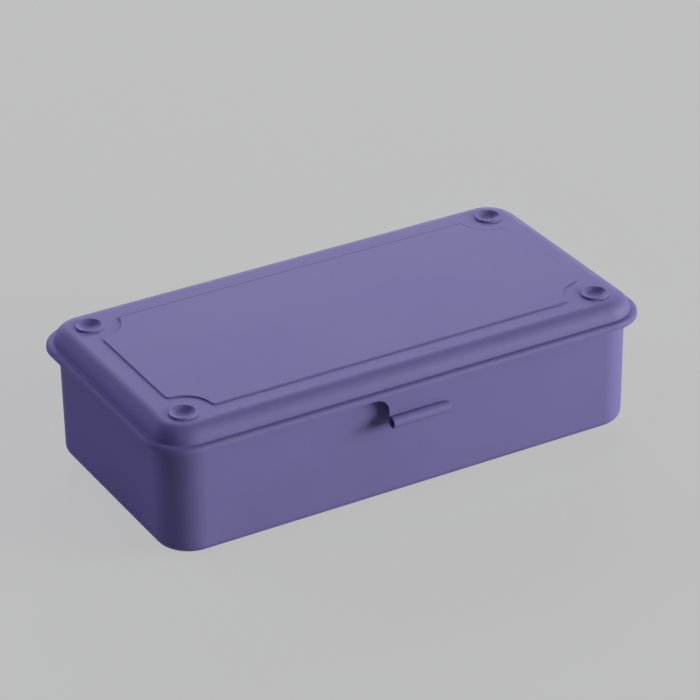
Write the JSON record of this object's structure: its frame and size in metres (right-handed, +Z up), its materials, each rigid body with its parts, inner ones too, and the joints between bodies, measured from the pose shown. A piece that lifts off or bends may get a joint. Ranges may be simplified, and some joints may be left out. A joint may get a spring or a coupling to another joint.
{
  "type": "steel storage box",
  "caption": "Small pressed steel storage box with round corners, a hinged flanged lid with stacking rings and a raised panel, and a rolled finger latch at the front.",
  "frame": {"origin": "on the surface that the feet stand on, below the middle of the overall box", "axes": "+X along the length, -Y towards the latch, +Z up"},
  "size_m": [0.203, 0.1104, 0.055],
  "materials": {
    "violet_coat": "satin powder coat",
    "pin_steel": "bright zinc"
  },
  "bodies": {
    "box": {"body_pan": "violet_coat", "hinge_bracket_left": "violet_coat", "hinge_bracket_right": "violet_coat", "hinge_pin_left": "pin_steel", "hinge_pin_right": "pin_steel"},
    "lid": {"lid_pan": "violet_coat"}
  },
  "joints": [
    {"name": "lid_hinge", "type": "hinge", "parent": "box", "child": "lid", "pos_m": [0, 0.05293, 0.041], "axis": [-1, 0, 0], "range_deg": [0, 105]}
  ]
}
